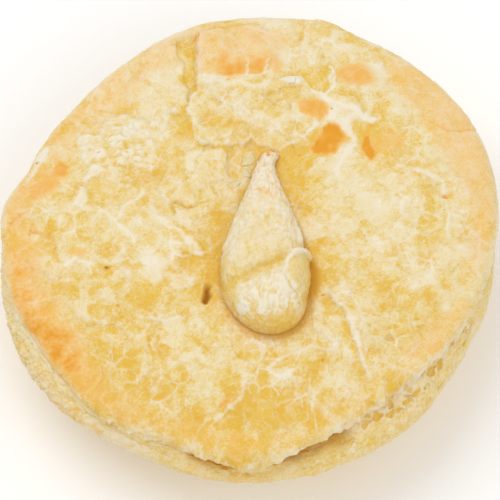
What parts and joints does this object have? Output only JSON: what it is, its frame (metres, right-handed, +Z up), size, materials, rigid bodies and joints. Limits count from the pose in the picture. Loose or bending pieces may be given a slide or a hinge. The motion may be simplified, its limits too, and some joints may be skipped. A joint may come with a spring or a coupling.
{
  "type": "steak pie",
  "caption": "Round single-serving puff pastry pie with sloping sides, a torn and browned flaky lid and a pastry teardrop on top.",
  "frame": {"origin": "middle of the pie's outline, on the surface that it stands on", "axes": "+Z up; -Y is the front of the pie, where the round end of the teardrop points"},
  "size_m": [0.1208, 0.123, 0.0418],
  "materials": {
    "base_crust": "matte baked pastry, tan with pale flaky layers at the rim",
    "lid_crust": "matte flaky puff pastry, cream and butter yellow with orange browning at the edge",
    "pastry_drop": "matte floury pastry, pale cream"
  },
  "bodies": {
    "root": {"base_crust": "base_crust", "lid_crust": "lid_crust", "pastry_drop": "pastry_drop"}
  },
  "joints": []
}
